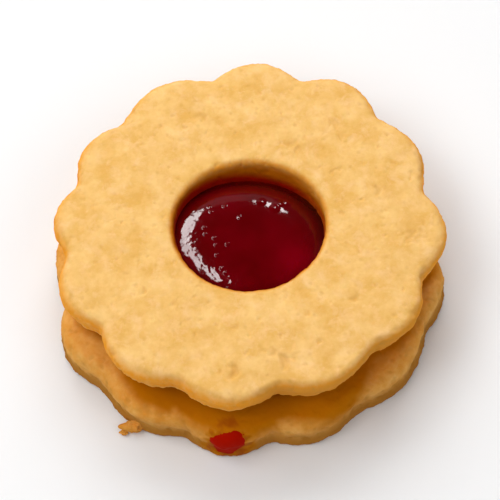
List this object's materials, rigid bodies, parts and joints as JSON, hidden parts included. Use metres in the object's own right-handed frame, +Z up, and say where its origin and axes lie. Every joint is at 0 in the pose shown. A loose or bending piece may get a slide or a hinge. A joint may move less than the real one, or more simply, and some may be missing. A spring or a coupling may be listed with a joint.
{
  "type": "linzer cookie",
  "caption": "Round sandwich biscuit with a fluted edge: a whole shortbread base, a layer of red jam, and a shortbread ring whose round hole is filled with the jam.",
  "frame": {"origin": "middle of the cookie's box, on the surface that it rests on", "axes": "+Z up through the stack, towards the ring with the hole; +Y away from the viewer of the picture and +X to the viewer's right"},
  "size_m": [0.0503, 0.0508, 0.013],
  "materials": {
    "shortbread_top": "matt, golden baked shortbread",
    "shortbread_base": "matt, golden baked shortbread, a little darker",
    "jam": "wet gloss, dark red"
  },
  "bodies": {
    "root": {"biscuit_bottom": "shortbread_base", "jam": "jam", "biscuit_top": "shortbread_top"}
  },
  "joints": []
}
